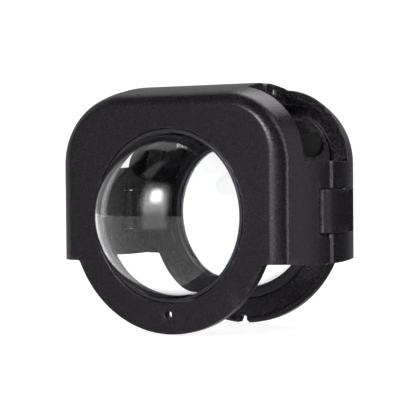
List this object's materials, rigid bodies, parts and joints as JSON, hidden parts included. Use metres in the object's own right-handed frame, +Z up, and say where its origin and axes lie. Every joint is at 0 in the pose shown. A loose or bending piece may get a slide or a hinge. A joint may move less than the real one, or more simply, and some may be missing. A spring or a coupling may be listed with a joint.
{
  "type": "action camera lens guard",
  "caption": "Clip-on lens guard for a two-lens action camera: hinged front and rear shells with clear domes, corner windows, open underside and side latches.",
  "frame": {"origin": "on the common axis of the two lens openings, in the parting plane midway between the shells", "axes": "+Z up towards the hinge, +X to the right as the front shell is faced, +Y from the front shell to the rear shell"},
  "size_m": [0.0578, 0.0574, 0.0499],
  "materials": {
    "shell_plastic": "black moulded plastic with a fine spark-eroded texture",
    "trim_plastic": "smooth satin black plastic, slightly cooler than the shell",
    "dome_clear": "polished clear optical plastic",
    "soft_rubber": "matt soft black rubber",
    "pin_steel": "cut ends of drawn steel wire"
  },
  "bodies": {
    "front_half": {"front_shell": "shell_plastic", "front_bezel_ring": "trim_plastic", "front_dome": "dome_clear", "front_dome_gasket": "soft_rubber", "front_retaining_ring": "trim_plastic", "front_corner_pad_left": "soft_rubber", "front_corner_pad_right": "soft_rubber"},
    "rear_half": {"rear_shell": "shell_plastic", "rear_bezel_ring": "trim_plastic", "rear_dome": "dome_clear", "rear_dome_gasket": "soft_rubber", "rear_retaining_ring": "trim_plastic", "rear_corner_pad_left": "soft_rubber", "rear_corner_pad_right": "soft_rubber", "hinge_pin": "pin_steel", "latch_pin_right": "pin_steel", "latch_pin_left": "pin_steel"},
    "latch_right": {"latch_lever_right": "shell_plastic"},
    "latch_left": {"latch_lever_left": "shell_plastic"}
  },
  "joints": [
    {"name": "shell_hinge", "type": "hinge", "parent": "front_half", "child": "rear_half", "pos_m": [0, 0.0037, 0.02455], "axis": [1, 0, 0], "range_deg": [0, 100]},
    {"name": "latch_right_pivot", "type": "hinge", "parent": "rear_half", "child": "latch_right", "pos_m": [0.0265, 0.0083, 0.0007], "axis": [0, 0, 1], "range_deg": [0, 95]},
    {"name": "latch_left_pivot", "type": "hinge", "parent": "rear_half", "child": "latch_left", "pos_m": [-0.0265, 0.0083, 0.0007], "axis": [0, 0, -1], "range_deg": [0, 95]}
  ]
}
